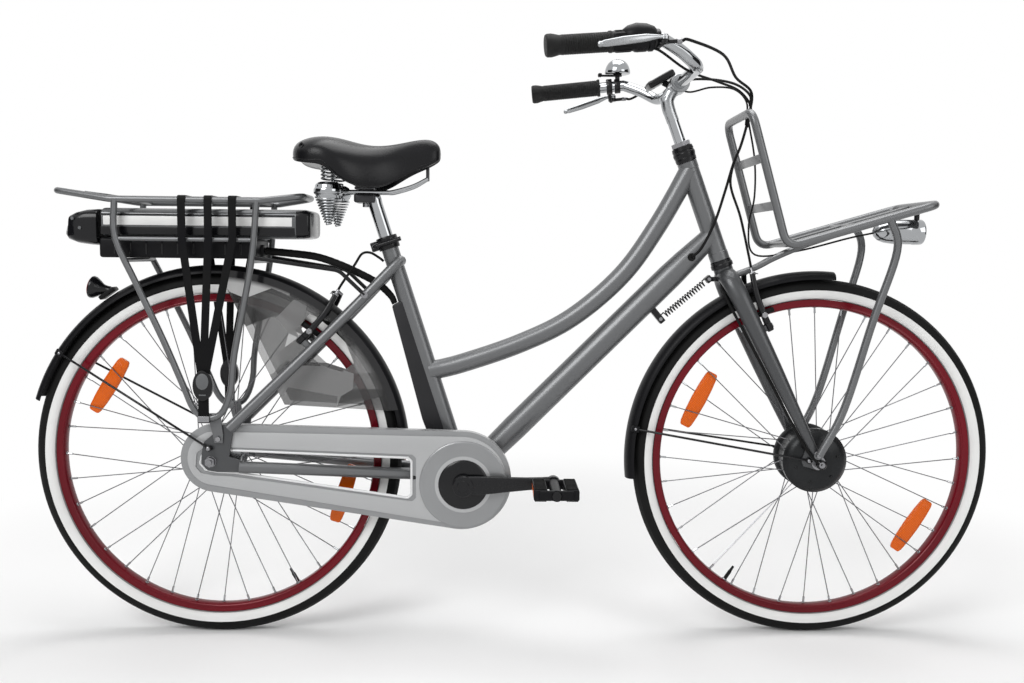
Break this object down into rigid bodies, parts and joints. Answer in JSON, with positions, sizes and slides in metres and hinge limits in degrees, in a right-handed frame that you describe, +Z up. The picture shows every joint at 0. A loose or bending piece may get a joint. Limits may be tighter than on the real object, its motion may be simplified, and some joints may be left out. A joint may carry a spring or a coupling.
{
  "type": "bicycles and tricycles by type",
  "caption": "Electric city bike with low-step curved frame, front hub motor, rear-rack battery, front carrier, chain case and sprung saddle.",
  "frame": {"origin": "ground level midway between the two wheels, under the bike's middle plane", "axes": "+X forward, +Y to the rider's left, +Z up"},
  "size_m": [1.856, 0.578, 1.1585],
  "materials": {
    "frame_paint": "satin mid-grey metallic paint",
    "case_silver": "satin silver paint",
    "black_plastic": "moulded black plastic, satin",
    "black_metal": "black anodised or painted metal",
    "rubber": "black rubber or cable sheath",
    "tyre": "black tread with a white sidewall",
    "rim_red": "dark crimson anodised rim",
    "chrome": "polished chrome plate",
    "aluminium": "bare satin aluminium",
    "steel": "plain steel",
    "reflector_orange": "orange prismatic plastic",
    "saddle_vinyl": "black padded vinyl cover",
    "smoked_panel": "smoke-grey translucent sheet",
    "strap_rubber": "black elastic strap"
  },
  "bodies": {
    "frame": {"battery_cradle": "black_plastic", "chain_case": "case_silver", "coat_guard_left": "smoked_panel", "coat_guard_right": "smoked_panel", "drive_chain": "steel", "headset_lower_cup": "black_metal", "headset_upper_cup": "black_metal", "main_frame": "frame_paint", "power_cable": "rubber", "rack_straps": "strap_rubber", "rear_axle": "steel", "rear_brake_cable": "rubber", "rear_mudguard": "black_plastic", "rear_rack": "frame_paint", "seat_collar": "black_metal", "steering_spring": "chrome", "tail_lamp": "black_plastic"},
    "battery": {"battery_pack": "aluminium"},
    "fork": {"fork": "frame_paint", "front_axle": "steel", "front_mudguard": "black_plastic", "handlebar": "chrome", "stem": "aluminium", "grip_left": "rubber", "grip_right": "rubber", "brake_mount_left": "black_metal", "brake_mount_right": "black_metal", "bell_dome": "chrome", "display": "black_plastic", "brake_cables": "rubber", "front_carrier": "frame_paint", "headlamp": "chrome"},
    "shifter": {"twist_shifter": "black_plastic"},
    "lever_left": {"brake_lever_left": "black_metal"},
    "lever_right": {"brake_lever_right": "black_metal"},
    "bell_lever": {"bell_lever": "black_plastic"},
    "front_wheel": {"front_tire": "tyre", "front_rim": "rim_red", "front_hub_motor": "black_metal", "front_reflector_a": "reflector_orange", "front_reflector_b": "reflector_orange"},
    "rear_wheel": {"rear_tire": "tyre", "rear_rim": "rim_red", "rear_hub": "black_metal", "rear_reflector_a": "reflector_orange", "rear_reflector_b": "reflector_orange"},
    "sprocket": {"rear_sprocket": "steel"},
    "crank": {"crank_right": "aluminium", "crank_left": "aluminium"},
    "pedal_right": {"pedal_right": "black_plastic"},
    "pedal_left": {"pedal_left": "black_plastic"},
    "seatpost": {"seatpost": "chrome", "saddle_rails": "chrome"},
    "saddle": {"saddle_top": "saddle_vinyl", "saddle_spring_left": "chrome", "saddle_spring_right": "chrome"},
    "rear_brake_left": {"rear_brake_arm_left": "black_metal"},
    "rear_brake_right": {"rear_brake_arm_right": "black_metal"},
    "front_brake_left": {"front_brake_arm_left": "black_metal"},
    "front_brake_right": {"front_brake_arm_right": "black_metal"}
  },
  "joints": [
    {"name": "steering", "type": "hinge", "parent": "frame", "child": "fork", "pos_m": [0.35353, 0, 0.83019], "axis": [-0.3502, 0, 0.9367], "range_deg": [-45, 45], "stiffness_Nm_per_rad": 6, "deforming": ["steering_spring", "brake_cables"]},
    {"name": "front_wheel_spin", "type": "hinge", "parent": "fork", "child": "front_wheel", "pos_m": [0.577, 0, 0.351], "axis": [0, 1, 0], "continuous": true},
    {"name": "rear_wheel_spin", "type": "hinge", "parent": "frame", "child": "rear_wheel", "pos_m": [-0.577, 0, 0.351], "axis": [0, 1, 0], "continuous": true},
    {"name": "crank_spin", "type": "hinge", "parent": "frame", "child": "crank", "pos_m": [-0.104, 0, 0.308], "axis": [0, 1, 0], "continuous": true},
    {"name": "sprocket_spin", "type": "hinge", "parent": "frame", "child": "sprocket", "pos_m": [-0.577, -0.052, 0.351], "axis": [0, 1, 0], "continuous": true},
    {"name": "pedal_right_spin", "type": "hinge", "parent": "crank", "child": "pedal_right", "pos_m": [0.06584, -0.0875, 0.31542], "axis": [0, 1, 0], "continuous": true},
    {"name": "pedal_left_spin", "type": "hinge", "parent": "crank", "child": "pedal_left", "pos_m": [-0.27384, 0.0875, 0.30058], "axis": [0, 1, 0], "continuous": true},
    {"name": "brake_lever_right", "type": "hinge", "parent": "fork", "child": "lever_right", "pos_m": [0.22561, -0.2563, 1.10041], "axis": [0, 0, -1], "range_deg": [0, 12], "stiffness_Nm_per_rad": 3, "springref_deg": -5.73},
    {"name": "brake_lever_left", "type": "hinge", "parent": "fork", "child": "lever_left", "pos_m": [0.20432, 0.25849, 1.08437], "axis": [0, 0, 1], "range_deg": [0, 12], "stiffness_Nm_per_rad": 3, "springref_deg": -5.73},
    {"name": "rear_brake_arm_right", "type": "hinge", "parent": "frame", "child": "rear_brake_right", "pos_m": [-0.41192, -0.042, 0.5799], "axis": [-0.7026, 0, 0.7116], "range_deg": [0, 3.1], "stiffness_Nm_per_rad": 2, "springref_deg": -2.86, "deforming": ["rear_brake_cable"]},
    {"name": "rear_brake_arm_left", "type": "hinge", "parent": "frame", "child": "rear_brake_left", "pos_m": [-0.41192, 0.042, 0.5799], "axis": [0.7026, 0, -0.7116], "range_deg": [0, 3.1], "stiffness_Nm_per_rad": 2, "springref_deg": -2.86},
    {"name": "front_brake_arm_left", "type": "hinge", "parent": "fork", "child": "front_brake_left", "pos_m": [0.4759, 0.042, 0.61231], "axis": [0.8955, 0, 0.4451], "range_deg": [0, 3.1], "stiffness_Nm_per_rad": 2, "springref_deg": -2.86},
    {"name": "front_brake_arm_right", "type": "hinge", "parent": "fork", "child": "front_brake_right", "pos_m": [0.4759, -0.042, 0.61231], "axis": [-0.8955, 0, -0.4451], "range_deg": [0, 3.1], "stiffness_Nm_per_rad": 2, "springref_deg": -2.86, "deforming": ["brake_cables"]},
    {"name": "saddle_height", "type": "slide", "parent": "frame", "child": "seatpost", "axis": [-0.3107, 0, 0.9505], "range_m": [-0.03, 0.12]},
    {"name": "saddle_bounce", "type": "hinge", "parent": "seatpost", "child": "saddle", "pos_m": [-0.177, 0, 0.9065], "axis": [0, 1, 0], "range_deg": [-4, 0], "stiffness_Nm_per_rad": 1300, "deforming": ["saddle_spring_left", "saddle_spring_right"]},
    {"name": "battery_slide", "type": "slide", "parent": "frame", "child": "battery", "axis": [-1, 0, 0], "range_m": [0, 0.4]},
    {"name": "shifter_twist", "type": "hinge", "parent": "fork", "child": "shifter", "pos_m": [0.20086, -0.23285, 1.10203], "axis": [-0.9902, -0.1018, -0.0952], "range_deg": [0, 70]},
    {"name": "bell_thumb", "type": "hinge", "parent": "fork", "child": "bell_lever", "pos_m": [0.21125, 0.23178, 1.12453], "axis": [0, 0, 1], "range_deg": [0, 25], "stiffness_Nm_per_rad": 0.08, "springref_deg": -5.73}
  ],
  "couplings": [
    {"joint": "sprocket_spin", "follows": "crank_spin", "ratio": 2.1111},
    {"joint": "rear_brake_arm_right", "follows": "brake_lever_right", "ratio": 0.25},
    {"joint": "rear_brake_arm_left", "follows": "brake_lever_right", "ratio": 0.25},
    {"joint": "front_brake_arm_left", "follows": "brake_lever_left", "ratio": 0.25},
    {"joint": "front_brake_arm_right", "follows": "brake_lever_left", "ratio": 0.25}
  ]
}
